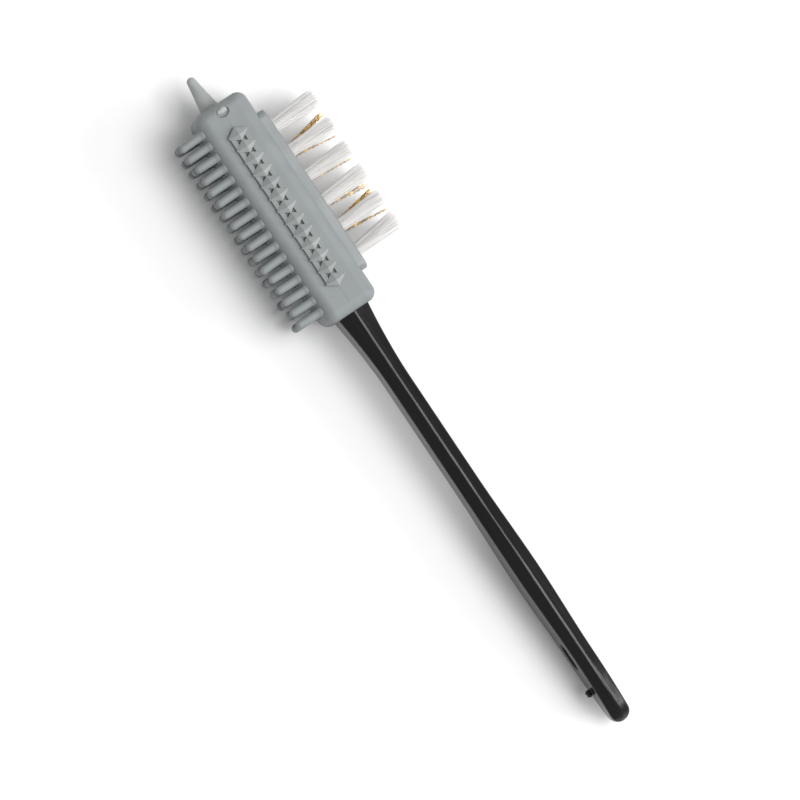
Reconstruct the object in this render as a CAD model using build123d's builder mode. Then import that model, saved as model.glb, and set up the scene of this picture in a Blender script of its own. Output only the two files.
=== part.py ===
from build123d import *
import math
import os

os.makedirs("parts", exist_ok=True)

# Long-handled groove brush: a flat black handle whose head core carries a bristle block on one
# side, inside a moulded rubber sleeve with pegs, two stud rows and a spike.
# Frame, in millimetres: origin at the centre of the hanging slot, +X towards the spike,
# +Y towards the rubber pegs, -Y towards the bristles, +Z out of one stud row.

# Handle, along X from the centre of the hanging slot
slot_to_mouth = 127.0        # to the sleeve's open end
slot_to_end = 26.1           # to the rounded end
slot_length = 9.6
slot_width = 5.2
neck_run = 26.0              # flare between the waist and the sleeve
neck_shoulder = 0.8          # step at each side between the neck and the wider head core
waist_width = 7.3            # peg side to bristle side
waist_depth = 15.0           # ridge to ridge
waist_run = 38.0             # stretch of even section
grip_width = 7.9
grip_depth = 18.2
grip_from_slot = 30.0        # widest place of the grip, from the slot
ridge_rise = 2.1             # height of the ridge along each narrow side
edge_round = 0.9             # rounding of the long edges
end_run = 25.0               # length over which the end tapers in, seen on the flat side
end_width = 6.7              # thickness where the taper starts to round over
end_round = 3.3              # rounding of the end across the thin way
flare_power = 1.8            # how late the neck opens out
shank_steps = 4              # sections between two named places of the shank
end_turns = (0, 15, 30, 45, 57, 67, 75, 81)   # sections of the rounded end, in degrees of its ellipse
gate_stub_radius = 1.5
gate_stub_height = 2.2
gate_stub_from_end = 13.4

# Rubber sleeve
sleeve_length = 77.0
sleeve_width = 18.4          # peg side to bristle side
sleeve_depth = 22.0          # stud side to stud side
sleeve_corner = 4.0
sleeve_end_round = 3.2
sleeve_wall = 2.8
sleeve_end_wall = 4.0
core_corner = 1.8
core_fit = 0.1               # gap all round the core
dimple_radius = 2.0
dimple_depth = 0.8
dimple_from_end = 3.3
nub_radius = 1.3
nub_height = 1.1             # above the dimple's floor

# Rubber pegs on the +Y side
peg_columns = 17
peg_rows = 3
peg_end_margin = 5.75        # first peg's axis from the sleeve's end
peg_row_pitch = 7.8
peg_radius = 1.45
peg_reach = 8.6
peg_tip_round = 1.35

# Pyramid studs on the +Z and -Z sides
stud_count = 13
stud_end_margin = 9.3        # first stud's point from the sleeve's end
stud_overlap = 0.3           # each stud runs this far into the next one
stud_across = 7.8            # full width of the rhombus, before it is trimmed
stud_row_width = 6.8
stud_foot = 1.3              # straight-sided foot under each pyramid
stud_height = 3.3            # foot and pyramid
stud_tip_share = 0.1         # the small flat left at each point, of the foot's width
rail_width = 1.5             # low rails along both sides of the row
rail_height = 1.2
rail_inset = 0.3             # the studs' sides stand out past the rails

# Spike on the closed end
spike_length = 11.7
spike_base_radius = 3.05
spike_tip_radius = 1.5
spike_tip_round = 1.3
spike_offset = 1.4           # from the centre towards the pegs

# Bristle block and tufts on the -Y side
block_end_margin = 9.15      # from the sleeve's end
block_span = 17.6            # across, along Z
block_corner = 2.4
block_proud = 2.4            # above the sleeve's flank
block_edge_round = 0.8
block_pocket = 2.6           # depth of the seat in the core
block_fit = 0.1              # gap round the block in its seat and window
block_floor = 1.2            # left below the tuft holes
tuft_columns = 6
tuft_rows = 3
tuft_end_margin = 6.2        # first tuft's axis from the block's end
tuft_row_pitch = 5.7
tuft_hole_radius = 2.2
tuft_fit = 0.05
tuft_free_length = 16.8
tuft_tip_gap_x = 2.3         # between neighbouring cut ends, along X
tuft_tip_gap_z = 0.5         # between neighbouring cut ends, along Z
brass_row = 2
brass_columns = range(2, 6)
anchor_bite = 0.6            # anchor's hold in the block at each side of its hole
anchor_height = 1.8
anchor_thickness = 0.5
anchor_fold = 0.8            # filaments folded below the anchor

# Places that follow from the sizes above
mouth_x = slot_to_mouth
sleeve_end_x = mouth_x + sleeve_length
sleeve_mid_x = mouth_x + sleeve_length / 2
flank_y = sleeve_width / 2
face_z = sleeve_depth / 2
cavity_width = sleeve_width - 2 * sleeve_wall
cavity_depth = sleeve_depth - 2 * sleeve_wall
cavity_length = sleeve_length - sleeve_end_wall
core_width = cavity_width - 2 * core_fit
core_depth = cavity_depth - 2 * core_fit
core_length = cavity_length - core_fit
neck_width = core_width - 2 * neck_shoulder
peg_pitch = (sleeve_length - 2 * peg_end_margin) / (peg_columns - 1)
stud_pitch = (sleeve_length - 2 * stud_end_margin) / stud_count
stud_length = stud_pitch + stud_overlap
stud_inradius = stud_length * stud_across / (2 * math.hypot(stud_length, stud_across))
stud_slope = math.degrees(math.atan2((1 - stud_tip_share) * stud_inradius, stud_height - stud_foot))
block_length = sleeve_length - 2 * block_end_margin
block_face_y = flank_y + block_proud
block_base_y = core_width / 2 - block_pocket
block_thickness = block_face_y - block_base_y
tuft_hole_depth = block_thickness - block_floor
tuft_pitch = (block_length - 2 * tuft_end_margin) / (tuft_columns - 1)
tuft_base_y = block_face_y - tuft_hole_depth
tuft_tip_y = block_face_y + tuft_free_length
tuft_tip_length = tuft_pitch - tuft_tip_gap_x
tuft_tip_span = tuft_row_pitch - tuft_tip_gap_z
anchor_length = 2 * (tuft_hole_radius + anchor_bite)
anchor_base_y = tuft_base_y + anchor_fold


def save(part, name):
    part.label = name
    export_step(part, f"parts/{name}.step")


def smooth(share):
    return share * share * (3 - 2 * share)


def flare(share):
    return share ** flare_power


def shank_section(width, depth):
    # Flat sides joined by a low ridge along each narrow side
    rise = ridge_rise * min(1.0, depth / waist_depth)
    rounding = edge_round * min(1.0, width / waist_width)
    half_width = width / 2
    half_depth = depth / 2
    shoulder = half_depth - rise
    outline = Polygon(
        (half_width, -shoulder),
        (half_width, shoulder),
        (0, half_depth),
        (-half_width, shoulder),
        (-half_width, -shoulder),
        (0, -half_depth),
    )
    fillet(outline.vertices(), rounding)


# Handle and head core, one moulding
waist_top_x = mouth_x - neck_run
waist_foot_x = waist_top_x - waist_run
end_start_x = end_run - slot_to_end
shank_runs = [
    # from and to as (x, width, depth), and how the size changes between them
    ((end_start_x, end_width, grip_depth), (grip_from_slot, grip_width, grip_depth), smooth),
    ((grip_from_slot, grip_width, grip_depth), (waist_foot_x, waist_width, waist_depth), smooth),
    ((waist_foot_x, waist_width, waist_depth), (waist_top_x, waist_width, waist_depth), smooth),
    ((waist_top_x, waist_width, waist_depth), (mouth_x, neck_width, core_depth), flare),
]

with BuildPart() as handle:
    with BuildSketch(Plane.YZ.offset(end_start_x)):
        shank_section(end_width, grip_depth)
    for (x_a, width_a, depth_a), (x_b, width_b, depth_b), ease in shank_runs:
        for step in range(1, shank_steps + 1):
            share = step / shank_steps
            grown = ease(share)
            with BuildSketch(Plane.YZ.offset(x_a + share * (x_b - x_a))):
                shank_section(width_a + grown * (width_b - width_a), depth_a + grown * (depth_b - depth_a))
    loft(ruled=True)
    # Rounded end: half an ellipse seen on the flat side, and a smaller round across it
    for turn in end_turns:
        reach = end_run * math.sin(math.radians(turn))
        into_round = max(0.0, reach - (end_run - end_round))
        round_loss = end_round - math.sqrt(end_round ** 2 - into_round ** 2)
        with BuildSketch(Plane.YZ.offset(end_start_x - reach)):
            shank_section(end_width - 2 * round_loss, grip_depth * math.cos(math.radians(turn)))
    loft(ruled=True)
    with BuildSketch(Plane.YZ.offset(mouth_x)):
        RectangleRounded(core_width, core_depth, core_corner)
    extrude(amount=core_length)
    with BuildSketch(Plane.XZ.offset(core_width / 2)):
        with Locations((sleeve_mid_x, 0)):
            Rectangle(block_length + 2 * block_fit, 2 * core_depth)
    extrude(amount=-block_pocket, mode=Mode.SUBTRACT)
    with BuildSketch(Plane.XZ):
        SlotOverall(slot_length, slot_width)
    extrude(amount=grip_width, both=True, mode=Mode.SUBTRACT)
    with BuildSketch(Plane.XZ):
        with Locations((gate_stub_from_end - slot_to_end, 0)):
            Circle(gate_stub_radius)
    extrude(amount=-(end_width / 2 + gate_stub_height))
save(handle.part, "handle")


# Rubber sleeve with its studs and spike, one moulding
with BuildPart() as stud:
    with BuildSketch(Plane.XY) as rhombus:
        Polygon((stud_length / 2, 0), (0, stud_across / 2), (-stud_length / 2, 0), (0, -stud_across / 2))
    extrude(amount=stud_foot)
    pyramid_foot = rhombus.sketch.moved(Location((0, 0, stud_foot)))
    extrude(pyramid_foot, amount=stud_height - stud_foot, taper=stud_slope)
    with BuildSketch(Plane.XY):
        Rectangle(stud_length, stud_row_width)
    extrude(amount=stud_height, mode=Mode.INTERSECT)

stud_faces = [
    Plane(origin=(sleeve_mid_x, 0, face_z), x_dir=(1, 0, 0), z_dir=(0, 0, 1)),
    Plane(origin=(sleeve_mid_x, 0, -face_z), x_dir=(1, 0, 0), z_dir=(0, 0, -1)),
]

with BuildPart() as rubber_sleeve:
    with BuildSketch(Plane.YZ.offset(mouth_x)):
        RectangleRounded(sleeve_width, sleeve_depth, sleeve_corner)
    extrude(amount=sleeve_length)
    fillet(rubber_sleeve.faces().filter_by(Axis.X).edges(), sleeve_end_round)

    for face in stud_faces:
        with Locations(face):
            with GridLocations(stud_pitch, 1, stud_count, 1):
                add(stud.part)
        with BuildSketch(face):
            with GridLocations(1, stud_row_width - 2 * rail_inset - rail_width, 1, 2):
                Rectangle(stud_pitch * (stud_count - 1), rail_width)
        extrude(amount=rail_height)

    with Locations(Location((sleeve_end_x, spike_offset, 0), (0, 90, 0))):
        Cone(
            spike_base_radius,
            spike_tip_radius,
            spike_length,
            align=(Align.CENTER, Align.CENTER, Align.MIN),
        )
    fillet(rubber_sleeve.faces().sort_by(Axis.X)[-1].edges(), spike_tip_round)

    with BuildSketch(Plane.XY.offset(face_z)):
        with Locations((sleeve_end_x - dimple_from_end, 0)):
            Circle(dimple_radius)
            Circle(nub_radius, mode=Mode.SUBTRACT)
    extrude(amount=-dimple_depth, mode=Mode.SUBTRACT)
    with BuildSketch(Plane.XY.offset(face_z - dimple_depth)):
        with Locations((sleeve_end_x - dimple_from_end, 0)):
            Circle(nub_radius)
    extrude(amount=nub_height)

    with BuildSketch(Plane.YZ.offset(mouth_x)):
        RectangleRounded(cavity_width, cavity_depth, core_corner + core_fit)
    extrude(amount=cavity_length, mode=Mode.SUBTRACT)
    with BuildSketch(Plane.XZ.offset(flank_y)):
        with Locations((sleeve_mid_x, 0)):
            RectangleRounded(block_length + 2 * block_fit, block_span + 2 * block_fit, block_corner)
    extrude(amount=block_base_y - block_fit - flank_y, mode=Mode.SUBTRACT)
save(rubber_sleeve.part, "rubber_sleeve")

# Rubber pegs, part of the sleeve's moulding: separate solids that stand on its flank, face to face
with BuildPart() as rubber_pegs:
    with BuildSketch(Plane.XZ.offset(-flank_y)):
        with Locations((sleeve_mid_x, 0)):
            with GridLocations(peg_pitch, peg_row_pitch, peg_columns, peg_rows):
                Circle(peg_radius)
    extrude(amount=-peg_reach)
    fillet(rubber_pegs.faces().group_by(Axis.Y)[-1].edges(), peg_tip_round)
save(rubber_pegs.part, "rubber_pegs")


# Bristle block, seated in the core and standing out of the sleeve's window
with BuildPart() as bristle_block:
    with BuildSketch(Plane.XZ.offset(block_base_y)):
        with Locations((sleeve_mid_x, 0)):
            RectangleRounded(block_length, block_span, block_corner)
    extrude(amount=block_thickness)
    fillet(bristle_block.faces().sort_by(Axis.Y)[0].edges(), block_edge_round)
    with BuildSketch(Plane.XZ.offset(block_face_y)):
        with Locations((sleeve_mid_x, 0)):
            with GridLocations(tuft_pitch, tuft_row_pitch, tuft_columns, tuft_rows):
                Circle(tuft_hole_radius)
    extrude(amount=-tuft_hole_depth, mode=Mode.SUBTRACT)
    with BuildSketch(Plane.XZ.offset(anchor_base_y)):
        with Locations((sleeve_mid_x, 0)):
            with GridLocations(tuft_pitch, tuft_row_pitch, tuft_columns, tuft_rows):
                Rectangle(anchor_length, anchor_thickness)
    extrude(amount=anchor_height, mode=Mode.SUBTRACT)
save(bristle_block.part, "bristle_block")

# Flat wire anchors, one across the foot of each tuft
with BuildPart() as tuft_anchors:
    with BuildSketch(Plane.XZ.offset(anchor_base_y)):
        with Locations((sleeve_mid_x, 0)):
            with GridLocations(tuft_pitch, tuft_row_pitch, tuft_columns, tuft_rows):
                Rectangle(anchor_length, anchor_thickness)
    extrude(amount=anchor_height)
save(tuft_anchors.part, "tuft_anchors")

# Tufts, each a bundle of filaments folded under its anchor and fanning out to its cut end
for row in range(1, tuft_rows + 1):
    for column in range(1, tuft_columns + 1):
        tuft_x = sleeve_mid_x + (column - (tuft_columns + 1) / 2) * tuft_pitch
        tuft_z = ((tuft_rows + 1) / 2 - row) * tuft_row_pitch
        with BuildPart() as tuft:
            with BuildSketch(Plane.XZ.offset(tuft_base_y)):
                with Locations((tuft_x, tuft_z)):
                    Circle(tuft_hole_radius - tuft_fit)
            extrude(amount=tuft_hole_depth)
            with BuildSketch(Plane.XZ.offset(block_face_y)):
                with Locations((tuft_x, tuft_z)):
                    Circle(tuft_hole_radius - tuft_fit)
            with BuildSketch(Plane.XZ.offset(tuft_tip_y)):
                with Locations((tuft_x, tuft_z)):
                    Ellipse(tuft_tip_length / 2, tuft_tip_span / 2)
            loft()
            with BuildSketch(Plane.XZ.offset(anchor_base_y)):
                with Locations((tuft_x, tuft_z)):
                    Rectangle(anchor_length, anchor_thickness)
            extrude(amount=anchor_height, mode=Mode.SUBTRACT)
        fibre = "brass" if row == brass_row and column in brass_columns else "nylon"
        save(tuft.part, f"{fibre}_tuft_row{row}_{column}")
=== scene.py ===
import math
import random

import bmesh
import bpy
from mathutils import Matrix, Vector


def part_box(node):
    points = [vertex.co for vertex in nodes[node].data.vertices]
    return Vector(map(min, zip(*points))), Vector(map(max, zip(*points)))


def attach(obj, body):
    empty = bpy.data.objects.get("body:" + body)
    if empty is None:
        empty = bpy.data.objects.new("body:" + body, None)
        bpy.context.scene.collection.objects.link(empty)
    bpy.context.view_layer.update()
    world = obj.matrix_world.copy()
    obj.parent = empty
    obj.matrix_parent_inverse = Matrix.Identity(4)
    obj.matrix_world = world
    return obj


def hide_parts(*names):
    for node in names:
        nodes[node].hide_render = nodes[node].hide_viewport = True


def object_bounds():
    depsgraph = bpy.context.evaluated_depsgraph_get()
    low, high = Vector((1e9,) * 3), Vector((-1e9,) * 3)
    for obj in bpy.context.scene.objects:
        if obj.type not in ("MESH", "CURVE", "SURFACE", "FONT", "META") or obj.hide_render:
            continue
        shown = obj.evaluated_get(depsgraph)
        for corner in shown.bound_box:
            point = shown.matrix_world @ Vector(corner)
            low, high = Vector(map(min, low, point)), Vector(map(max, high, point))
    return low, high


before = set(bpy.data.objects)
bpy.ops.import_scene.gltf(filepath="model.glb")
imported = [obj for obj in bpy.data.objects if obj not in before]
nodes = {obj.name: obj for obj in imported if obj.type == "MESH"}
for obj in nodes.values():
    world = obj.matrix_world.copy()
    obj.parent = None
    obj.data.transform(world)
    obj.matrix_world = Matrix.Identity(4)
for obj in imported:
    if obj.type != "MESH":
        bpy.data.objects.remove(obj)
cadBox = [list(corner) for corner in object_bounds()]
mm = 0.001
print("frame loaded, nodes:", len(nodes))

# Places read from the frame, in millimetres
handleLow, handleHigh = [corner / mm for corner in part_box("handle")]
sleeveLow, sleeveHigh = [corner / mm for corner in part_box("rubber_sleeve")]
blockLow, blockHigh = [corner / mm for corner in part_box("bristle_block")]

# Camera: it looks down on one stud row, rolled towards the pegs
view = {
    "aim": (96.1, 2.5, 0.0),      # mm, the point at the middle of the picture
    "rollDegrees": 8.0,           # lean towards the pegs
    "pitchDegrees": 1.4,          # lean towards the spike
    "turnDegrees": 33.8,          # spike's angle left of straight up
    "millimetresAcross": 249.0,
    "lens": 220.0,
    "sensor": 36.0,
}


def makeCamera():
    pitch, roll = math.radians(view["pitchDegrees"]), math.radians(view["rollDegrees"])
    back = Vector((math.tan(pitch), math.tan(roll), 1)).normalized()
    along = Vector((1, 0, 0))
    along = (along - back * along.dot(back)).normalized()
    up = Matrix.Rotation(math.radians(-view["turnDegrees"]), 3, back) @ along
    right = up.cross(back)
    distance = view["millimetresAcross"] * mm * view["lens"] / view["sensor"]
    data = bpy.data.cameras.new("camera")
    data.lens = view["lens"]
    data.sensor_width = view["sensor"]
    data.clip_start = 0.05
    camera = bpy.data.objects.new("camera", data)
    turn = Matrix((right, up, back)).transposed()
    camera.matrix_world = Matrix.Translation(Vector(view["aim"]) * mm + back * distance) @ turn.to_4x4()
    bpy.context.scene.collection.objects.link(camera)
    bpy.context.scene.camera = camera
    return right


pictureRight = makeCamera()


# Node helpers: inputs may be plain values or other nodes' output sockets
def put(tree, kind, inputs=None, **settings):
    node = tree.nodes.new(kind)
    for name, value in settings.items():
        setattr(node, name, value)
    for name, value in (inputs or {}).items():
        if isinstance(value, bpy.types.NodeSocket):
            tree.links.new(value, node.inputs[name])
        else:
            node.inputs[name].default_value = value
    return node


def calc(tree, operation, first, second=0.0):
    return put(tree, "ShaderNodeMath", {0: first, 1: second}, operation=operation).outputs[0]


def joinVector(tree, x, y, z):
    return put(tree, "ShaderNodeCombineXYZ", {"X": x, "Y": y, "Z": z}).outputs[0]


def calcVector(tree, operation, first, second):
    return put(tree, "ShaderNodeVectorMath", {0: first, 1: second}, operation=operation).outputs[0]


def startMaterial(name):
    material = bpy.data.materials.new(name)
    material.use_nodes = True
    tree = material.node_tree
    place = put(tree, "ShaderNodeTexCoord").outputs["Object"]
    return material, tree, tree.nodes["Principled BSDF"], place


def noise(tree, place, scale, detail=2.0, roughness=0.5, stretch=(1, 1, 1)):
    stretched = put(tree, "ShaderNodeMapping", {"Vector": place, "Scale": stretch}).outputs[0]
    settings = {"Vector": stretched, "Scale": scale, "Detail": detail, "Roughness": roughness}
    return put(tree, "ShaderNodeTexNoise", settings).outputs["Fac"]


def ramp(tree, factor, stops):
    node = put(tree, "ShaderNodeValToRGB", {"Fac": factor})
    elements = node.color_ramp.elements
    for index, (position, colour) in enumerate(stops):
        element = elements[index] if index < 2 else elements.new(position)
        element.position = position
        element.color = (*colour, 1)
    return node.outputs["Color"]


def paint(tree, shader, factor, stops):
    tree.links.new(ramp(tree, factor, stops), shader.inputs["Base Color"])


def between(tree, factor, low, high):
    settings = {"Value": factor, "From Min": 0.3, "From Max": 0.7, "To Min": low, "To Max": high}
    return put(tree, "ShaderNodeMapRange", settings).outputs["Result"]


def bump(tree, shader, heights):
    # Stacks several height fields, each with its own depth in metres
    normal = None
    for height, depth in heights:
        settings = {"Height": height, "Distance": depth, "Strength": 1.0}
        if normal is not None:
            settings["Normal"] = normal
        normal = put(tree, "ShaderNodeBump", settings).outputs["Normal"]
    tree.links.new(normal, shader.inputs["Normal"])


rubber = {
    "dark": (0.2, 0.217, 0.222),
    "light": (0.238, 0.256, 0.26),
    "paintedLitAndWornDark": (0.275, 0.294, 0.29),  # the studs and the spike, lighter: painted light for their lit faces, together with rub wear
    "paintedLitAndWornLight": (0.34, 0.36, 0.352),
    "whitened": (0.42, 0.45, 0.41),    # where the moulding was torn off at the nub
    "roughness": (0.5, 0.62),
    "grain": 0.00003,
    "waviness": 0.00025,
}


def makeRubber(name, dark, light):
    material, tree, shader, place = startMaterial(name)
    mottle = noise(tree, place, 110, 4)
    grain = noise(tree, place, 2600, 3)
    waves = noise(tree, place, 45, 1)
    paint(tree, shader, mottle, [(0.3, dark), (0.7, light)])
    tree.links.new(between(tree, mottle, *rubber["roughness"]), shader.inputs["Roughness"])
    shader.inputs["Specular IOR Level"].default_value = 0.42
    bump(tree, shader, [(waves, rubber["waviness"]), (grain, rubber["grain"])])
    return material


plate = {"dark": (0.205, 0.222, 0.226), "light": (0.24, 0.256, 0.26), "roughness": (0.34, 0.46)}


def makePlate():
    material, tree, shader, place = startMaterial("greyPlastic")
    mottle = noise(tree, place, 140, 3)
    flow = noise(tree, place, 500, 3, 0.6, (0.15, 1, 1))
    paint(tree, shader, mottle, [(0.3, plate["dark"]), (0.7, plate["light"])])
    tree.links.new(between(tree, flow, *plate["roughness"]), shader.inputs["Roughness"])
    bump(tree, shader, [(flow, 0.00002), (noise(tree, place, 2200, 2), 0.000015)])
    return material


gloss = {
    "deep": (0.0028, 0.0027, 0.0029),
    "streak": (0.006, 0.0056, 0.0054),
    "roughness": (0.17, 0.3),
}


def makeBlackPlastic():
    material, tree, shader, place = startMaterial("blackPlastic")
    flow = noise(tree, place, 420, 4, 0.6, (0.06, 1, 1))
    scuffs = noise(tree, place, 900, 5, 0.7, (0.02, 1, 1))
    cloud = noise(tree, place, 90, 3)
    paint(tree, shader, flow, [(0.35, gloss["deep"]), (0.75, gloss["streak"])])
    tree.links.new(between(tree, scuffs, *gloss["roughness"]), shader.inputs["Roughness"])
    shader.inputs["Specular IOR Level"].default_value = 0.36
    bump(tree, shader, [(cloud, 0.00025), (flow, 0.00006), (scuffs, 0.00002)])
    return material


def makeNylon():
    material, tree, shader, place = startMaterial("nylonFilament")
    tint = noise(tree, place, 900, 2, 0.5, (1, 0.05, 1))
    paint(tree, shader, tint, [(0.3, (0.86, 0.83, 0.81)), (0.5, (0.94, 0.93, 0.92)),
                               (0.75, (0.98, 0.975, 0.965))])
    tree.links.new(between(tree, tint, 0.22, 0.4), shader.inputs["Roughness"])
    shader.inputs["Transmission Weight"].default_value = 0.2
    shader.inputs["IOR"].default_value = 1.5
    return material


def makeBrass():
    material, tree, shader, place = startMaterial("brassWire")
    tarnish = noise(tree, place, 700, 3)
    paint(tree, shader, tarnish, [(0.3, (0.34, 0.19, 0.055)), (0.5, (0.66, 0.42, 0.12)),
                                  (0.75, (0.86, 0.62, 0.2))])
    tree.links.new(between(tree, tarnish, 0.2, 0.42), shader.inputs["Roughness"])
    shader.inputs["Metallic"].default_value = 1.0
    return material


def makeSteel():
    material, tree, shader, place = startMaterial("anchorSteel")
    drawn = noise(tree, place, 1500, 3, 0.6, (0.1, 1, 1))
    paint(tree, shader, drawn, [(0.3, (0.42, 0.42, 0.43)), (0.7, (0.6, 0.6, 0.61))])
    tree.links.new(between(tree, drawn, 0.25, 0.4), shader.inputs["Roughness"])
    shader.inputs["Metallic"].default_value = 1.0
    return material


greyRubber = makeRubber("greyRubber", rubber["dark"], rubber["light"])
# Lighter rubber for the studs and the spike: painted light for their lit faces, together with rub wear
wornRubber = makeRubber("wornRubber", rubber["paintedLitAndWornDark"], rubber["paintedLitAndWornLight"])
tornRubber = makeRubber("tornRubber", rubber["paintedLitAndWornDark"], rubber["whitened"])
greyPlastic = makePlate()
blackPlastic = makeBlackPlastic()
nylonFilament = makeNylon()
brassWire = makeBrass()
anchorSteel = makeSteel()
print("materials ready")


# Mesh helpers, working in millimetres
def filletRing(corners, radii, steps=5):
    # Rounds every corner of a flat outline; each corner gives steps + 1 points
    ring = []
    count = len(corners)
    if not isinstance(radii, list):
        radii = [radii] * count
    for index, (corner, radius) in enumerate(zip(corners, radii)):
        before = corners[index - 1] - corner
        after = corners[(index + 1) % count] - corner
        reach = min(before.length, after.length) * 0.48
        half = before.angle(after) / 2
        toBefore = before.normalized()
        toAfter = after.normalized()
        if half > math.radians(86):
            tangent = min(reach, radius * 0.6)
            for step in range(steps + 1):
                ring.append(corner + (toBefore * (1 - step / steps) + toAfter * (step / steps)) * tangent)
            continue
        tangent = min(reach, radius / math.tan(half))
        trueRadius = tangent * math.tan(half)
        centre = corner + (toBefore + toAfter).normalized() * (trueRadius / math.sin(half))
        first = corner + toBefore * tangent - centre
        last = corner + toAfter * tangent - centre
        for step in range(steps + 1):
            share = step / steps
            sweep = first.angle(last)
            point = (first * math.sin((1 - share) * sweep) + last * math.sin(share * sweep)) / math.sin(sweep)
            ring.append(centre + point)
    return ring


def rectangle(halfFirst, halfSecond):
    signs = ((1, -1), (1, 1), (-1, 1), (-1, -1))
    return [Vector((first * halfFirst, second * halfSecond)) for first, second in signs]


def skin(bm, rings, materialIndex=0):
    # Closed shell through a run of equal rings, with a cap at each end
    loops = [[bm.verts.new(Vector(point) * mm) for point in ring] for ring in rings]
    faces = []
    for near, far in zip(loops, loops[1:]):
        for index in range(len(near)):
            after = (index + 1) % len(near)
            faces.append(bm.faces.new((near[index], near[after], far[after], far[index])))
    faces.append(bm.faces.new(list(reversed(loops[0]))))
    faces.append(bm.faces.new(loops[-1]))
    for face in faces:
        face.material_index = materialIndex
    bmesh.ops.recalc_face_normals(bm, faces=faces)
    return faces


def lathe(bm, profile, place, steps=32, materialIndex=0, jitter=None):
    # profile holds (distance along the axis, radius); place turns a local point into a place on the part
    rings = []
    for height, radius in profile:
        ring = []
        for step in range(steps):
            turn = 2 * math.pi * step / steps
            rough = jitter() if jitter else 1.0
            ring.append(place(height, radius * rough * math.cos(turn), radius * rough * math.sin(turn)))
        rings.append(ring)
    return skin(bm, rings, materialIndex)


def makeObject(bm, name, materials):
    mesh = bpy.data.meshes.new(name)
    bm.to_mesh(mesh)
    bm.free()
    for material in materials:
        mesh.materials.append(material)
    piece = bpy.data.objects.new(name, mesh)
    bpy.context.scene.collection.objects.link(piece)
    return piece


def bake(piece):
    # Applies what is left on the modifier stack and drops it
    mesh = bpy.data.meshes.new_from_object(piece.evaluated_get(bpy.context.evaluated_depsgraph_get()))
    mesh.name = piece.name
    piece.modifiers.clear()
    piece.data = mesh


def cut(piece, cutter):
    modifier = piece.modifiers.new("cut", "BOOLEAN")
    modifier.operation = "DIFFERENCE"
    modifier.solver = "EXACT"
    modifier.object = cutter
    bake(piece)
    bpy.data.objects.remove(cutter)


def softenEdges(piece, width, segments=2, angle=32):
    modifier = piece.modifiers.new("soften", "BEVEL")
    modifier.width = width * mm
    modifier.segments = segments
    modifier.limit_method = "ANGLE"
    modifier.angle_limit = math.radians(angle)
    modifier.use_clamp_overlap = True
    bake(piece)


def finishPiece(piece, replaced, sharpAngle=38, evenNormals=False):
    piece.data.shade_smooth()
    piece.data.set_sharp_from_angle(angle=math.radians(sharpAngle))
    if evenNormals:
        # Large flat faces stay flat beside their rounded edges
        modifier = piece.modifiers.new("normals", "WEIGHTED_NORMAL")
        modifier.keep_sharp = True
        bake(piece)
    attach(piece, "root")
    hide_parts(*replaced)
    print(piece.name, "made,", len(piece.data.polygons), "faces")


def smooth(share):
    return share * share * (3 - 2 * share)


# Handle: flat shank with a low ridge along each narrow side, and the core inside the head
handle = {
    "mouthX": sleeveLow.x,
    "neckRun": 26.0,
    "waistRun": 38.0,
    "waistWidth": 7.3,
    "waistDepth": 15.0,
    "gripX": 30.0,
    "gripWidth": 7.9,
    "gripDepth": 18.2,
    "neckShoulder": 0.8,
    "ridgeRise": 2.1,
    "edgeRound": 0.9,
    "ridgeRound": 1.7,
    "endStartX": -1.1,
    "endWidth": 6.7,
    "endRound": 3.3,
    "flarePower": 1.8,
    "stepsPerRun": 12,
    "endSteps": 18,
    "slotLength": 9.6,
    "slotWidth": 5.2,
    "slotFlare": 0.45,
    "slotFit": 0.25,             # the slot's waist is narrower than its width by this on each side
    "seatFit": 0.1,
    "coreCorner": 1.8,
    "coreDeeper": 3.6,           # the core's depth over its width
    "coreTipRound": 0.8,
    "stubX": -12.7,
    "stubRadius": 1.5,
    "stubHeight": 2.15,
    "stubTear": 0.35,            # how far its torn top dips
    "seed": 4,
}


def shankRing(x, width, depth, rise, rounding, lowY=None):
    halfWidth = width / 2
    halfDepth = depth / 2
    shoulder = halfDepth - rise
    low = -halfWidth if lowY is None else lowY
    middle = (halfWidth + low) / 2
    corners = [(halfWidth, -shoulder), (halfWidth, shoulder), (middle, halfDepth),
               (low, shoulder), (low, -shoulder), (middle, -halfDepth)]
    ridge = handle["ridgeRound"] if rise else rounding
    radii = [rounding, rounding, ridge, rounding, rounding, ridge]
    outline = filletRing([Vector(corner) for corner in corners], radii)
    return [Vector((x, point.x, point.y)) for point in outline]


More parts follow.
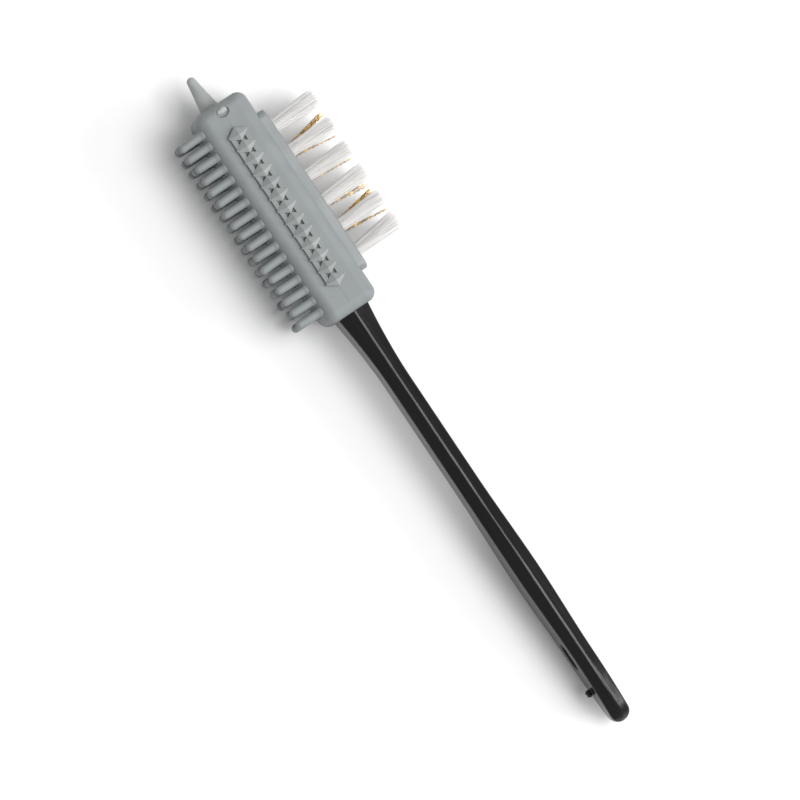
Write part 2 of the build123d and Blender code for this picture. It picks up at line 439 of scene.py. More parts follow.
def shankRings():
    neckX = handle["mouthX"] - handle["neckRun"]
    coreWidth = 2 * handleHigh.y
    coreDepth = coreWidth + handle["coreDeeper"]
    neckWidth = coreWidth - 2 * handle["neckShoulder"]
    runs = [
        ((handle["endStartX"], handle["endWidth"], handle["gripDepth"]),
         (handle["gripX"], handle["gripWidth"], handle["gripDepth"]), smooth),
        ((handle["gripX"], handle["gripWidth"], handle["gripDepth"]),
         (neckX - handle["waistRun"], handle["waistWidth"], handle["waistDepth"]), smooth),
        ((neckX - handle["waistRun"], handle["waistWidth"], handle["waistDepth"]),
         (neckX, handle["waistWidth"], handle["waistDepth"]), smooth),
        ((neckX, handle["waistWidth"], handle["waistDepth"]),
         (handle["mouthX"], neckWidth, coreDepth), lambda share: share ** handle["flarePower"]),
    ]
    rings = []
    endRun = handle["endStartX"] - handleLow.x
    for step in range(handle["endSteps"], 0, -1):
        turn = math.radians(89.0 * step / handle["endSteps"])
        reach = endRun * math.sin(turn)
        intoRound = max(0.0, reach - (endRun - handle["endRound"]))
        loss = handle["endRound"] - math.sqrt(handle["endRound"] ** 2 - intoRound ** 2)
        depth = max(0.6, handle["gripDepth"] * math.cos(turn))
        width = max(0.5, handle["endWidth"] - 2 * loss)
        rise = min(handle["ridgeRise"] * min(1.0, depth / handle["waistDepth"]), depth * 0.3)
        rings.append(shankRing(handle["endStartX"] - reach, width, depth, rise, handle["edgeRound"]))
    for (fromX, fromWidth, fromDepth), (toX, toWidth, toDepth), ease in runs:
        for step in range(handle["stepsPerRun"]):
            share = step / handle["stepsPerRun"]
            grown = ease(share)
            width = fromWidth + grown * (toWidth - fromWidth)
            depth = fromDepth + grown * (toDepth - fromDepth)
            x = fromX + share * (toX - fromX)
            rings.append(shankRing(x, width, depth, handle["ridgeRise"], handle["edgeRound"]))
    rings.append(shankRing(handle["mouthX"], neckWidth, coreDepth, handle["ridgeRise"], handle["edgeRound"]))
    seatY = blockHigh.y
    fit = handle["seatFit"]
    core = [
        (handle["mouthX"] + 0.05, None),
        (blockLow.x - fit - 0.02, None),
        (blockLow.x - fit, seatY),
        (blockHigh.x + fit, seatY),
        (blockHigh.x + fit + 0.02, None),
        (handleHigh.x - 0.6, None),
        (handleHigh.x, None),
    ]
    for index, (x, lowY) in enumerate(core):
        tip = handle["coreTipRound"] if index == len(core) - 1 else 0.0
        rings.append(shankRing(x, coreWidth - tip, coreDepth - tip, 0.0, handle["coreCorner"], lowY))
    return rings


def stadium(halfLength, radius, y, steps=12):
    points = []
    for side in (1, -1):
        for step in range(steps + 1):
            turn = math.pi * (step / steps - 0.5) + (0 if side > 0 else math.pi)
            points.append(Vector((side * halfLength + radius * math.cos(turn), y, radius * math.sin(turn))))
    return points


def makeHandle():
    bm = bmesh.new()
    skin(bm, shankRings())
    piece = makeObject(bm, "handle_moulding", [blackPlastic])
    cutterMesh = bmesh.new()
    surface = handle["endWidth"] / 2 + 0.05
    halfLength = (handle["slotLength"] - handle["slotWidth"]) / 2
    rings = []
    # Place through the thickness and share of the flare, from the middle to clear outside
    lip = [(0.7 * surface, 0), (0.82 * surface, 0.1), (0.93 * surface, 0.45), (surface, 1), (6, 1.4)]
    for y, grown in [(-y, grown) for y, grown in reversed(lip)] + lip:
        radius = handle["slotWidth"] / 2 - handle["slotFit"] + grown * handle["slotFlare"]
        rings.append(stadium(halfLength, radius, y))
    skin(cutterMesh, rings)
    cut(piece, makeObject(cutterMesh, "slot_cutter", []))
    # Torn gate stub
    chance = random.Random(handle["seed"])
    bm = bmesh.new()
    bm.from_mesh(piece.data)
    foot = handle["endWidth"] / 2 - 0.5
    top = handle["stubHeight"] + 0.5
    # Height and share of the radius: a waisted stub with a torn top
    profile = [(foot, 1.2), (foot + 0.55, 1.05), (foot + top * 0.5, 0.75), (foot + top * 0.72, 1.0),
               (foot + top, 0.6)]

    def stubPlace(height, across, around):
        torn = chance.uniform(-handle["stubTear"], 0.0) if height > foot + 0.6 else 0
        return Vector((handle["stubX"] + across, height + torn, around))

    lathe(bm, [(height, radius * handle["stubRadius"]) for height, radius in profile], stubPlace, 11,
          jitter=lambda: chance.uniform(0.68, 1.0))
    bm.to_mesh(piece.data)
    bm.free()
    finishPiece(piece, ["handle"], 30, True)


makeHandle()

# Rubber sleeve: the moulded jacket over the core
sleeve = {
    "length": 77.0,
    "halfWidth": -sleeveLow.y,
    "halfDepth": 11.0,
    "corner": 4.0,
    "endRound": 3.2,
    "wall": 2.8,
    "endWall": 4.0,
    "cavityCorner": 1.9,
    "arcSteps": 9,
    "lengthSteps": 12,
    "mouthRound": 0.5,
    "windowFit": 0.3,
    "windowCorner": 2.4,
    "dimpleFromEnd": 3.3,
    "dimpleRadius": 1.95,
    "dimpleStretch": (0.84, 1.1),   # along X and along Y
    "dimpleDepth": 0.9,
    "nubRadius": 1.3,
    "nubStretch": (0.75, 1.4),
    "nubHeight": 1.0,
    "nubShift": 0.5,            # towards the spike, which leaves a crescent on the handle side
    "seamHeight": 0.05,
    "seamWidth": 0.6,
    "seamCrest": 0.16,
    "seamFromEnd": 9.0,         # where the two runs of it stop short of the studs
    "seamFromMouth": 10.0,
    "seed": 9,
}
endX = sleeveLow.x + sleeve["length"]
middleX = sleeveLow.x + sleeve["length"] / 2


def boxRing(x, halfY, halfZ, corner, steps):
    return [Vector((x, point.x, point.y)) for point in filletRing(rectangle(halfY, halfZ), corner, steps)]


def sleeveRings():
    rings = []
    steps = sleeve["arcSteps"]
    innerY = sleeve["halfWidth"] - sleeve["wall"]
    innerZ = sleeve["halfDepth"] - sleeve["wall"]
    for x in (endX - sleeve["endWall"], sleeveLow.x + sleeve["mouthRound"]):
        rings.append(boxRing(x, innerY, innerZ, sleeve["cavityCorner"], steps))
    lip = 0.15
    rings.append(boxRing(sleeveLow.x + 0.1, innerY + lip, innerZ + lip, sleeve["cavityCorner"] + 0.1, steps))
    grow = sleeve["mouthRound"]
    rings.append(boxRing(sleeveLow.x, innerY + grow, innerZ + grow, sleeve["cavityCorner"] + grow, steps))

    def outer(depth, x):
        left = sleeve["endRound"] - depth
        inset = sleeve["endRound"] - math.sqrt(max(0.0, sleeve["endRound"] ** 2 - left ** 2))
        halfY = sleeve["halfWidth"] - inset
        halfZ = sleeve["halfDepth"] - inset
        return boxRing(x, halfY, halfZ, sleeve["corner"] - inset, steps)

    arc = [sleeve["endRound"] * (1 - math.cos(math.radians(90 * step / steps))) for step in range(steps + 1)]
    for depth in arc:
        rings.append(outer(depth, sleeveLow.x + depth))
    straight = sleeve["length"] - 2 * sleeve["endRound"]
    for step in range(1, sleeve["lengthSteps"]):
        x = sleeveLow.x + sleeve["endRound"] + step / sleeve["lengthSteps"] * straight
        rings.append(outer(sleeve["endRound"], x))
    for depth in reversed(arc):
        rings.append(outer(depth, endX - depth))
    return rings


def addSeam(bm, fromX, toX):
    # Faint parting ridge on the stud faces
    halfWidth = sleeve["seamWidth"] / 2
    halfCrest = sleeve["seamCrest"] / 2
    for side in (1, -1):
        face = side * sleeve["halfDepth"]
        root, top = face - side * 0.2, face + side * sleeve["seamHeight"]
        section = [(-halfWidth, root), (halfWidth, root), (halfCrest, top), (-halfCrest, top)]
        skin(bm, [[Vector((x, y, z)) for y, z in section] for x in (fromX, toX)])


def makeSleeve():
    bm = bmesh.new()
    skin(bm, sleeveRings())
    piece = makeObject(bm, "sleeve_body", [greyRubber, tornRubber])
    window = bmesh.new()
    fit = sleeve["windowFit"]
    halfX = (blockHigh.x - blockLow.x) / 2 + fit
    halfZ = blockHigh.z + fit
    outline = filletRing(rectangle(halfX, halfZ), sleeve["windowCorner"], 8)
    floorY = blockHigh.y - fit
    rings = [[Vector((middleX + p.x, y, p.y)) for p in outline] for y in (sleeveLow.y - 3, floorY)]
    skin(window, rings)
    cut(piece, makeObject(window, "window_cutter", []))
    dimpleX = endX - sleeve["dimpleFromEnd"]
    face = sleeve["halfDepth"]
    pit = bmesh.new()
    radius = sleeve["dimpleRadius"]
    depth = sleeve["dimpleDepth"]
    profile = [(face + 1, radius * 1.25), (face + 0.02, radius * 1.1), (face - 0.12, radius),
               (face - depth * 0.7, radius * 0.9), (face - depth, radius * 0.65)]
    stretchX, stretchY = sleeve["dimpleStretch"]

    def pitPlace(height, across, around):
        return Vector((dimpleX + stretchX * across, stretchY * around, height))

    lathe(pit, profile, pitPlace, 36)
    cut(piece, makeObject(pit, "dimple_cutter", []))
    chance = random.Random(sleeve["seed"])
    bm = bmesh.new()
    bm.from_mesh(piece.data)

    def nubPlace(height, across, around):
        lift = chance.uniform(-0.2, 0.1) if height > face - 0.2 else 0
        nubX, nubY = sleeve["nubStretch"]
        return Vector((dimpleX + sleeve["nubShift"] + nubX * across, nubY * around, height + lift))

    base = face - depth
    nub = [(base - 0.2, 1.1), (base + 0.45, 1.06), (base + 0.8, 0.92),
           (base + sleeve["nubHeight"] - 0.05, 0.66), (base + sleeve["nubHeight"], 0.3)]
    lathe(bm, [(height, share * sleeve["nubRadius"]) for height, share in nub], nubPlace, 14, 1,
          lambda: chance.uniform(0.86, 1.06))
    addSeam(bm, endX - sleeve["seamFromEnd"], dimpleX - radius - 0.1)
    addSeam(bm, sleeveLow.x + sleeve["endRound"], sleeveLow.x + sleeve["seamFromMouth"])
    bm.to_mesh(piece.data)
    bm.free()
    finishPiece(piece, ["rubber_sleeve"], 40, True)


makeSleeve()

# Spike on the closed end
spike = {
    "baseRadius": 3.05,
    "tipRadius": 1.5,
    "tipRound": 1.4,
    "offsetY": 1.4,
    "rootFlare": 0.25,
    "sunk": 1.5,                 # how far its root stands in the end wall
    "sag": 0.06,                 # hollow of its side between root and tip
    "steps": 14,
}


def makeSpike():
    length = sleeveHigh.x - endX
    base, taper = spike["baseRadius"], spike["tipRadius"] - spike["baseRadius"]
    flared = base + spike["rootFlare"]
    profile = [(-spike["sunk"], flared), (0.0, flared), (0.25, base + spike["rootFlare"] * 0.4)]
    straight = length - spike["tipRound"]
    for step in range(1, spike["steps"] + 1):
        share = step / spike["steps"]
        sag = spike["sag"] * math.sin(math.pi * share)
        profile.append((0.6 + share * (straight - 0.6), base + share * taper - sag))
    for step in range(1, 7):
        turn = math.radians(86 * step / 6)
        profile.append((straight + spike["tipRound"] * math.sin(turn), spike["tipRadius"] * math.cos(turn)))

    def place(height, across, around):
        return Vector((endX + height, spike["offsetY"] + across, around))

    bm = bmesh.new()
    lathe(bm, profile, place, 40)
    # The spike's lighter rubber is partly painted light
    finishPiece(makeObject(bm, "spike", [wornRubber]), ["rubber_sleeve"], 60)


makeSpike()


# Geometry Nodes helpers
def startTree(name, inputs):
    tree = bpy.data.node_groups.new(name, "GeometryNodeTree")
    for label, kind in inputs:
        tree.interface.new_socket(label, in_out="INPUT", socket_type="NodeSocket" + kind)
    tree.interface.new_socket("Geometry", in_out="OUTPUT", socket_type="NodeSocketGeometry")
    source = tree.nodes.new("NodeGroupInput").outputs
    return tree, {label: source[label] for label, kind in inputs}


def endTree(tree, geometry, material):
    realized = put(tree, "GeometryNodeRealizeInstances", {"Geometry": geometry}).outputs[0]
    painted = put(tree, "GeometryNodeSetMaterial", {"Geometry": realized, "Material": material}).outputs[0]
    put(tree, "NodeGroupOutput", {"Geometry": painted})


def runTree(tree, name, values):
    carrier = bpy.data.objects.new(name, bpy.data.meshes.new(name))
    bpy.context.scene.collection.objects.link(carrier)
    modifier = carrier.modifiers.new("nodes", "NODES")
    modifier.node_group = tree
    for item in tree.interface.items_tree:
        if item.item_type == "SOCKET" and item.in_out == "INPUT":
            modifier[item.identifier] = values[item.name]
    bake(carrier)
    return carrier


def chanceNode(tree, low, high, seed, kind="FLOAT"):
    slots = {"FLOAT_VECTOR": (0, 1, 0), "FLOAT": (2, 3, 1)}[kind]
    node = put(tree, "FunctionNodeRandomValue", {slots[0]: low, slots[1]: high, "Seed": seed}, data_type=kind)
    return node.outputs[slots[2]]


def remember(tree, geometry, name, value, kind="FLOAT_VECTOR"):
    settings = {"Geometry": geometry, "Name": name, "Value": value}
    return put(tree, "GeometryNodeStoreNamedAttribute", settings, data_type=kind, domain="POINT").outputs[0]


def recall(tree, name, kind="FLOAT_VECTOR"):
    return put(tree, "GeometryNodeInputNamedAttribute", {"Name": name}, data_type=kind).outputs["Attribute"]


# Pegs: a grid of soft fingers, each a little bent and of its own length
pegs = {
    "columns": 17,
    "rows": 3,
    "endMargin": 5.75,
    "rowPitch": 7.8,
    "radius": 1.45,
    "reach": 8.6,
    "rootFlare": 0.3,
    "bend": 0.3,
    "shortest": 0.9,
    "seed": 21,
}


def makePegShape():
    # One finger standing along +Z from the origin, its root a little inside the wall
    radius = pegs["radius"]
    reach = pegs["reach"]
    flared = radius + pegs["rootFlare"]
    profile = [(-0.8, flared), (0.0, flared), (0.25, radius + 0.12), (0.8, radius)]
    for share in (0.25, 0.45, 0.65):
        profile.append((share * reach, radius * (1 - 0.06 * share)))
    tip = radius * 0.95
    for step in range(0, 6):
        turn = math.radians(86 * step / 5)
        profile.append((reach - tip + tip * math.sin(turn), tip * math.cos(turn)))
    bm = bmesh.new()
    lathe(bm, profile, lambda height, across, around: Vector((across, around, height)), 20)
    shape = makeObject(bm, "peg_shape", [greyRubber])
    shape.data.shade_smooth()
    return shape


def makePegs():
    shape = makePegShape()
    inputs = [("Shape", "Object"), ("Columns", "Int"), ("Rows", "Int"), ("Length", "Float"),
              ("Depth", "Float"), ("Middle", "Vector"), ("Bend", "Float"), ("Reach", "Float"),
              ("Shortest", "Float"), ("Seed", "Int"), ("Material", "Material")]
    tree, given = startTree("pegGrid", inputs)
    size = {"Size X": given["Length"], "Size Y": given["Depth"], "Vertices X": given["Columns"],
            "Vertices Y": given["Rows"]}
    grid = put(tree, "GeometryNodeMeshGrid", size).outputs["Mesh"]
    lean = chanceNode(tree, (-1, -1, 0), (1, 1, 0), given["Seed"], "FLOAT_VECTOR")
    marked = remember(tree, grid, "lean", lean)
    source = put(tree, "GeometryNodeObjectInfo", {"Object": given["Shape"]}).outputs["Geometry"]
    length = chanceNode(tree, given["Shortest"], 1.0, calc(tree, "ADD", given["Seed"], 5))
    copies = {"Points": marked, "Instance": source, "Scale": joinVector(tree, 1, 1, length)}
    instances = put(tree, "GeometryNodeInstanceOnPoints", copies).outputs[0]
    real = put(tree, "GeometryNodeRealizeInstances", {"Geometry": instances}).outputs[0]
    place = put(tree, "GeometryNodeInputPosition").outputs[0]
    height = calc(tree, "MAXIMUM", put(tree, "ShaderNodeSeparateXYZ", {"Vector": place}).outputs["Z"], 0.0)
    share = calc(tree, "POWER", calc(tree, "DIVIDE", height, given["Reach"]), 2.0)
    amount = calc(tree, "MULTIPLY", share, given["Bend"])
    leaning = {0: recall(tree, "lean"), "Scale": amount}
    push = put(tree, "ShaderNodeVectorMath", leaning, operation="SCALE").outputs[0]
    bent = put(tree, "GeometryNodeSetPosition", {"Geometry": real, "Offset": push}).outputs[0]
    # The grid stands along +Z, so it is laid over to stand out along +Y
    move = {"Geometry": bent, "Translation": given["Middle"], "Rotation": (math.radians(-90), 0, 0)}
    laid = put(tree, "GeometryNodeTransform", move).outputs[0]
    endTree(tree, laid, given["Material"])
    values = {
        "Shape": shape, "Columns": pegs["columns"], "Rows": pegs["rows"],
        "Length": (sleeve["length"] - 2 * pegs["endMargin"]) * mm,
        "Depth": (pegs["rows"] - 1) * pegs["rowPitch"] * mm,
        "Middle": (middleX * mm, sleeve["halfWidth"] * mm, 0.0),
        "Bend": pegs["bend"] * mm, "Reach": pegs["reach"] * mm,
        "Shortest": pegs["shortest"], "Seed": pegs["seed"], "Material": greyRubber,
    }
    piece = runTree(tree, "sleeve_pegs", values)
    bpy.data.objects.remove(shape)
    finishPiece(piece, ["rubber_pegs"], 50)


makePegs()

# Studs: a row of clipped pyramids on each stud face, with low rails beside them
studs = {
    "count": 13,
    "endMargin": 9.3,
    "overlap": 0.3,
    "across": 7.8,
    "rowWidth": 6.8,
    "sunk": 0.6,                 # how far a stud starts inside the wall
    "foot": 1.3,
    "height": 3.3,
    "lean": 0.5,
    "tipShare": 0.1,
    "railWidth": 1.5,
    "railHeight": 1.2,
    "railInset": 0.3,
    "edgeRound": 0.14,
    "railEdge": 0.12,            # bevel along the rails
    "seed": 3,
}
studPitch = (sleeve["length"] - 2 * studs["endMargin"]) / studs["count"]


def makeStudShape():
    halfAlong = (studPitch + studs["overlap"]) / 2
    halfAcross = studs["across"] / 2
    clip = studs["rowWidth"] / 2
    tipAlong = halfAlong * studs["tipShare"]
    tipAcross = halfAcross * studs["tipShare"]
    sideAlong = halfAlong * (1 - clip / halfAcross)
    climb = (halfAcross - clip) / (halfAcross - tipAcross)
    sideHeight = studs["foot"] + climb * (studs["height"] - studs["foot"])
    outline = [(halfAlong, 0), (sideAlong, clip), (-sideAlong, clip)]
    outline += [(-x, -y) for x, y in outline]
    points = [(x, y, height) for height in (-studs["sunk"], studs["foot"]) for x, y in outline]
    points += [(-studs["lean"] * climb, clip, sideHeight), (-studs["lean"] * climb, -clip, sideHeight)]
    for x, y in ((tipAlong, 0), (0, tipAcross), (-tipAlong, 0), (0, -tipAcross)):
        points.append((x - studs["lean"], y, studs["height"]))
    bm = bmesh.new()
    for point in points:
        bm.verts.new(Vector(point) * mm)
    bmesh.ops.convex_hull(bm, input=bm.verts)
    bmesh.ops.dissolve_limit(bm, angle_limit=math.radians(2), verts=bm.verts, edges=bm.edges)
    shape = makeObject(bm, "stud_shape", [greyRubber])
    softenEdges(shape, studs["edgeRound"], 2, 12)
    return shape


def makeStuds():
    shape = makeStudShape()
    inputs = [("Shape", "Object"), ("Count", "Int"), ("Pitch", "Float"), ("Middle", "Vector"),
              ("Roll", "Float"), ("Seed", "Int"), ("Material", "Material")]
    tree, given = startTree("studRow", inputs)
    gaps = calc(tree, "SUBTRACT", given["Count"], 1)
    half = calc(tree, "MULTIPLY", gaps, calc(tree, "MULTIPLY", given["Pitch"], -0.5))
    places = {"Count": given["Count"], "Start Location": joinVector(tree, half, 0, 0),
              "Offset": joinVector(tree, given["Pitch"], 0, 0)}
    line = put(tree, "GeometryNodeMeshLine", places).outputs[0]
    source = put(tree, "GeometryNodeObjectInfo", {"Object": given["Shape"]}).outputs["Geometry"]
    size = chanceNode(tree, (0.985, 0.985, 0.96), (1.0, 1.0, 1.0), given["Seed"], "FLOAT_VECTOR")
    copies = {"Points": line, "Instance": source, "Scale": size}
    row = put(tree, "GeometryNodeInstanceOnPoints", copies).outputs[0]
    turn = joinVector(tree, given["Roll"], 0, 0)
    move = {"Geometry": row, "Translation": given["Middle"], "Rotation": turn}
    laid = put(tree, "GeometryNodeTransform", move).outputs[0]
    endTree(tree, laid, given["Material"])
    rows = []
    for side in (1, -1):
        face = side * sleeve["halfDepth"] * mm
        # The studs' lighter rubber is partly painted light for their lit facets
        values = {
            "Shape": shape, "Count": studs["count"], "Pitch": studPitch * mm,
            "Middle": (middleX * mm, 0.0, face),
            "Roll": 0.0 if side > 0 else math.pi, "Seed": studs["seed"] + side, "Material": wornRubber,
        }
        rows.append(runTree(tree, "stud_row_" + ("near" if side > 0 else "far"), values))
    bpy.data.objects.remove(shape)
    halfRun = studPitch * (studs["count"] - 1) / 2
    for row, side in zip(rows, (1, -1)):
        face = side * sleeve["halfDepth"]
        rails = bmesh.new()
        rails.from_mesh(row.data)
        for edge in (1, -1):
            outerY = edge * (studs["rowWidth"] / 2 - studs["railInset"])
            innerY = outerY - edge * studs["railWidth"]
            root = face - side * 0.5
            top = face + side * studs["railHeight"]
            bevel = studs["railEdge"]
            section = [(outerY, root), (outerY, top - side * bevel), (outerY - edge * bevel, top),
                       (innerY + edge * bevel, top), (innerY, top - side * bevel), (innerY, root)]
            ends = (middleX - halfRun, middleX + halfRun)
            skin(rails, [[Vector((x, y, z)) for y, z in section] for x in ends])
        rails.to_mesh(row.data)
        rails.free()
        finishPiece(row, ["rubber_sleeve"], 24, True)


makeStuds()

# The block and the anchors keep their own shapes
for nodeName, material in (("bristle_block", greyPlastic), ("tuft_anchors", anchorSteel)):
    nodes[nodeName].data.materials.clear()
    nodes[nodeName].data.materials.append(material)
print("block and anchors painted")

# Tufts: bundles of filaments that leave their holes and fan out to a cut end
tufts = {
    "columns": 6,
    "rows": 3,
    "endMargin": 6.2,
    "rowPitch": 5.7,
    "holeRadius": 2.1,
    "freeLength": 16.2,
    "sunk": 3.0,                 # how far a filament starts below the block's face
    "brassRow": 2,
    "brassColumns": (2, 3, 4, 5),
}
nylon = {
    "count": 76,
    "radius": 0.1,
    "segments": 5,
    "tipWidths": (6.5, 5.0, 6.1, 5.5, 5.3, 6.0),     # by column from the mouth
    "leans": (1.2, 0.5, 0.9, 0.2, 0.25, 0.6),        # towards the spike
    "tipDepth": 5.0,
    "wander": 0.35,
    "raggedness": 0.035,
    "seed": 100,
}
brass = {
    "radius": 0.09,
    "segments": 64,
    "crimpHeight": 0.13,
    "crimpLength": 1.5,
    "middleFoot": 1.5,           # radius of a bundle at the hole, and of one that leans away
    "leaningFoot": 0.6,
    "tipDepth": 1.4,
    "raggedness": 0.07,
    "wander": 0.4,
    "seed": 500,
    # for each column: (wires, foot, tip, spread at the tip, length), foot and tip along X from the hole
    "bundles": {
        5: ((16, 1.35, 4.3, 1.3, 15.6), (3, -1.8, -3.9, 0.5, 16.0), (12, 0.0, 0.0, 3.6, 16.0)),
        4: ((3, 1.6, 2.7, 0.4, 14.6), (3, -1.7, -3.1, 0.5, 16.2), (16, 0.0, 0.0, 3.4, 16.0)),
        3: ((3, 1.7, 3.0, 0.6, 14.4), (6, -1.6, -3.2, 0.9, 15.0), (16, 0.0, 0.0, 3.4, 16.0)),
        2: ((15, 1.35, 3.9, 1.2, 15.2), (5, -1.9, -3.6, 0.4, 16.0), (12, 0.0, 0.0, 3.4, 16.0)),
    },
}


def makeFilamentTree():
    lengths = ("Foot", "Length", "Sunk", "Tip X", "Tip Z", "Lean", "Wander", "Raggedness", "Radius",
               "Crimp Height", "Crimp Length")
    inputs = [("Count", "Int"), ("Segments", "Int"), ("Place", "Vector")]
    inputs += [(label, "Float") for label in lengths]
    inputs += [("Seed", "Int"), ("Material", "Material")]
    tree, given = startTree("filamentBundle", inputs)
    index = put(tree, "GeometryNodeInputIndex").outputs[0]
    # Sunflower packing of the feet inside the hole
    turn = calc(tree, "MULTIPLY", index, math.pi * (3 - math.sqrt(5)))
    reach = calc(tree, "SQRT", calc(tree, "DIVIDE", calc(tree, "ADD", index, 0.5), given["Count"]))
    rootX = calc(tree, "MULTIPLY", calc(tree, "COSINE", turn), reach)
    rootZ = calc(tree, "MULTIPLY", calc(tree, "SINE", turn), reach)
    points = put(tree, "GeometryNodePoints", {"Count": given["Count"]}).outputs[0]
    points = remember(tree, points, "root", joinVector(tree, rootX, 0, rootZ))
    strays = chanceNode(tree, (-1, 0, -1), (1, 1, 1), given["Seed"], "FLOAT_VECTOR")
    points = remember(tree, points, "stray", strays)
    line = put(tree, "GeometryNodeCurvePrimitiveLine", {"Start": (0, 0, 0), "End": (0, -1, 0)}).outputs[0]
    line = put(tree, "GeometryNodeResampleCurve", {"Curve": line, "Count": given["Segments"]}).outputs[0]
    strands = put(tree, "GeometryNodeInstanceOnPoints", {"Points": points, "Instance": line}).outputs[0]
    strands = put(tree, "GeometryNodeRealizeInstances", {"Geometry": strands}).outputs[0]
    share = put(tree, "GeometryNodeSplineParameter").outputs["Factor"]
    root = put(tree, "ShaderNodeSeparateXYZ", {"Vector": recall(tree, "root")}).outputs
    stray = put(tree, "ShaderNodeSeparateXYZ", {"Vector": recall(tree, "stray")}).outputs
    full = calc(tree, "ADD", given["Length"], given["Sunk"])
    ragged = calc(tree, "MULTIPLY", given["Raggedness"], stray["Y"])
    trimmed = calc(tree, "SUBTRACT", full, calc(tree, "MULTIPLY", ragged, full))
    gone = calc(tree, "MULTIPLY", share, trimmed)
    # Free share of the strand: nothing fans out inside the hole
    out = calc(tree, "SUBTRACT", gone, given["Sunk"])
    free = calc(tree, "MAXIMUM", calc(tree, "DIVIDE", out, given["Length"]), 0.0)
    curved = calc(tree, "POWER", free, 2.0)
    turns = calc(tree, "DIVIDE", calc(tree, "MULTIPLY", gone, 2 * math.pi), given["Crimp Length"])
    wave = calc(tree, "ADD", turns, calc(tree, "MULTIPLY", stray["X"], 9.0))
    crimpX = calc(tree, "MULTIPLY", calc(tree, "SINE", wave), given["Crimp Height"])
    crimpZ = calc(tree, "MULTIPLY", calc(tree, "COSINE", wave), given["Crimp Height"])

    def sideways(rootPart, strayPart, tip, lean, crimp):
        spread = calc(tree, "SUBTRACT", tip, given["Foot"])
        width = calc(tree, "ADD", given["Foot"], calc(tree, "MULTIPLY", free, spread))
        fanned = calc(tree, "MULTIPLY", rootPart, width)
        strayed = calc(tree, "MULTIPLY", calc(tree, "MULTIPLY", strayPart, given["Wander"]), curved)
        leaned = calc(tree, "MULTIPLY", free, lean)
        return calc(tree, "ADD", calc(tree, "ADD", fanned, strayed), calc(tree, "ADD", leaned, crimp))

    x = sideways(root["X"], stray["X"], given["Tip X"], given["Lean"], crimpX)
    z = sideways(root["Z"], stray["Z"], given["Tip Z"], 0.0, crimpZ)
    y = calc(tree, "SUBTRACT", given["Sunk"], gone)
    place = calcVector(tree, "ADD", joinVector(tree, x, y, z), given["Place"])
    strands = put(tree, "GeometryNodeSetPosition", {"Geometry": strands, "Position": place}).outputs[0]
    wireSize = {"Resolution": 5, "Radius": given["Radius"]}
    wire = put(tree, "GeometryNodeCurvePrimitiveCircle", wireSize).outputs[0]
    swept = {"Curve": strands, "Profile Curve": wire, "Fill Caps": True}
    tubes = put(tree, "GeometryNodeCurveToMesh", swept).outputs[0]
    endTree(tree, tubes, given["Material"])
    return tree


def tuftPlace(row, column):
    pitch = (blockHigh.x - blockLow.x - 2 * tufts["endMargin"]) / (tufts["columns"] - 1)
    x = middleX + (column - (tufts["columns"] + 1) / 2) * pitch
    z = ((tufts["rows"] + 1) / 2 - row) * tufts["rowPitch"]
    return x, z


def joinMeshes(name, parts):
    bm = bmesh.new()
    for part in parts:
        bm.from_mesh(part.data)
    mesh = parts[0].data
    bm.to_mesh(mesh)
    bm.free()
    for part in parts[1:]:
        bpy.data.objects.remove(part)
    parts[0].name = name
    return parts[0]


def makeTufts():
    tree = makeFilamentTree()
    chance = random.Random(nylon["seed"])
    for row in range(1, tufts["rows"] + 1):
        for column in range(1, tufts["columns"] + 1):
            x, z = tuftPlace(row, column)
            common = {"Place": (x * mm, blockLow.y * mm, z * mm), "Sunk": tufts["sunk"] * mm}
            isBrass = row == tufts["brassRow"] and column in tufts["brassColumns"]
            if not isBrass:
                width = nylon["tipWidths"][column - 1] * chance.uniform(0.96, 1.04)
                lean = nylon["leans"][column - 1] + chance.uniform(-0.25, 0.25) * (row > 1)
                values = {
                    **common, "Count": nylon["count"], "Segments": nylon["segments"] + 1,
                    "Foot": tufts["holeRadius"] * mm, "Length": tufts["freeLength"] * mm,
                    "Tip X": width / 2 * mm, "Tip Z": nylon["tipDepth"] / 2 * mm,
                    "Lean": lean * mm, "Wander": nylon["wander"] * mm, "Raggedness": nylon["raggedness"],
                    "Radius": nylon["radius"] * mm, "Crimp Height": 0.0, "Crimp Length": 1.0,
                    "Seed": nylon["seed"] + 10 * row + column, "Material": nylonFilament,
                }
                name = f"nylon_bundle_row{row}_{column}"
                piece = runTree(tree, name, values)
                finishPiece(piece, [f"nylon_tuft_row{row}_{column}"], 60)
                continue
            parts = []
            for number, (wires, foot, tip, spread, length) in enumerate(brass["bundles"][column]):
                values = {
                    **common, "Place": ((x + foot) * mm, blockLow.y * mm, z * mm), "Count": wires,
                    "Segments": brass["segments"], "Length": length * mm,
                    "Foot": (brass["leaningFoot"] if foot else brass["middleFoot"]) * mm,
                    "Tip X": spread / 2 * mm, "Tip Z": brass["tipDepth"] * mm, "Lean": (tip - foot) * mm,
                    "Wander": brass["wander"] * mm, "Raggedness": brass["raggedness"],
                    "Radius": brass["radius"] * mm,
                    "Crimp Height": brass["crimpHeight"] * mm, "Crimp Length": brass["crimpLength"] * mm,
                    "Seed": brass["seed"] + 10 * column + number, "Material": brassWire,
                }
                parts.append(runTree(tree, f"wires_{column}_{number}", values))
            piece = joinMeshes(f"brass_bundle_row{row}_{column}", parts)
            finishPiece(piece, [f"brass_tuft_row{row}_{column}"], 60)


makeTufts()

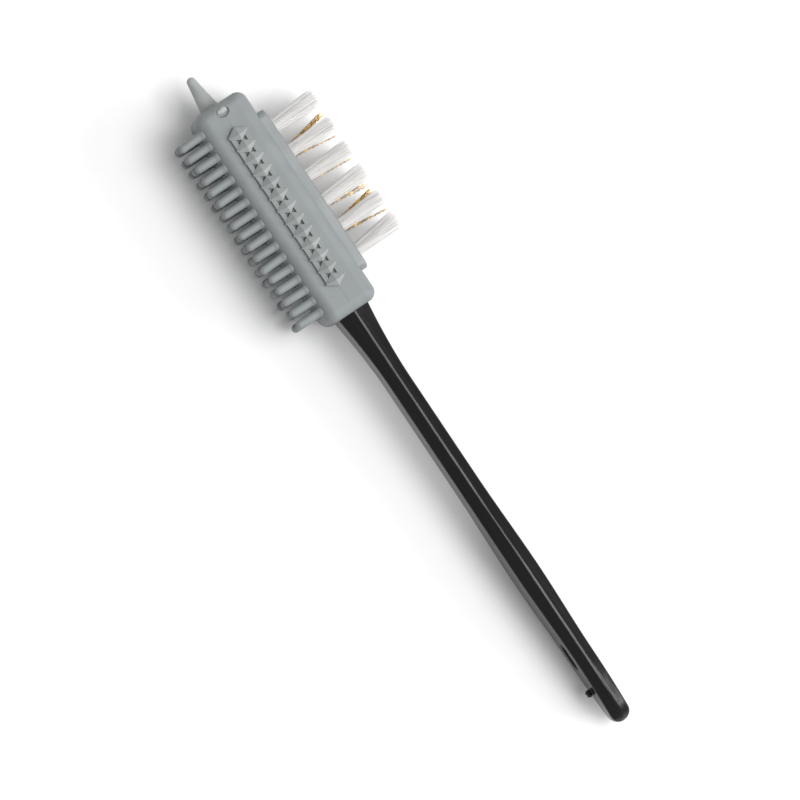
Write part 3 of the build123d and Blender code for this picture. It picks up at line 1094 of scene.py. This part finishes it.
# Floor, lights and world
stage = {
    "floorColour": (0.86, 0.86, 0.86),
    "floorHalf": 3000.0,
    "riseFromX": 136.0,          # the floor climbs from under the handle-side stud to the handle's end,
    "riseToX": -30.0,            # so that the brush lies on both
    "riseGap": 0.15,
    "riseSteps": 40,
    # for each lamp: (power, size, distance, degrees above the floor), all on the right
    "key": (23.0, 1.0, 1.6, 68.0),
    "side": (12.0, 0.7, 1.7, 28.0),
    "worldStrength": 0.45,
}


def addLamp(name):
    energy, size, distance, elevation = stage[name]
    lamp = bpy.data.lights.new(name, "AREA")
    lamp.energy = energy
    lamp.size = size
    lampObject = bpy.data.objects.new(name, lamp)
    sideways = Vector((pictureRight.x, pictureRight.y, 0)).normalized()
    climb = math.radians(elevation)
    offset = (sideways * math.cos(climb) + Vector((0, 0, math.sin(climb)))) * distance
    lampObject.location = Vector(view["aim"]) * mm + offset
    lampObject.rotation_euler = (-offset).to_track_quat("-Z", "Y").to_euler()
    bpy.context.scene.collection.objects.link(lampObject)


def makeFloor():
    low = cadBox[0][2] / mm
    rise = handleLow.z - stage["riseGap"] - low
    half = stage["floorHalf"]
    run = stage["riseToX"] - stage["riseFromX"]
    profile = [(half, low)]
    for step in range(stage["riseSteps"] + 1):
        share = step / stage["riseSteps"]
        profile.append((stage["riseFromX"] + share * run, low + rise * smooth(share)))
    profile.append((-half, low + rise))
    bm = bmesh.new()
    edges = [[bm.verts.new(Vector((x, y, z)) * mm) for y in (-half, half)] for x, z in profile]
    for near, far in zip(edges, edges[1:]):
        bm.faces.new((near[0], near[1], far[1], far[0]))
    material = startMaterial("paleFloor")[0]
    shader = material.node_tree.nodes["Principled BSDF"]
    shader.inputs["Base Color"].default_value = (*stage["floorColour"], 1)
    shader.inputs["Roughness"].default_value = 0.9
    shader.inputs["Specular IOR Level"].default_value = 0.1
    floor = makeObject(bm, "floor", [material])
    floor.data.shade_smooth()


def makeStage():
    makeFloor()
    addLamp("key")
    addLamp("side")
    world = bpy.data.worlds.new("world")
    bpy.context.scene.world = world
    world.use_nodes = True
    background = world.node_tree.nodes["Background"].inputs
    background["Color"].default_value = (1, 1, 1, 1)
    background["Strength"].default_value = stage["worldStrength"]
    bpy.context.scene.view_settings.view_transform = "Standard"


makeStage()
print("stage ready")
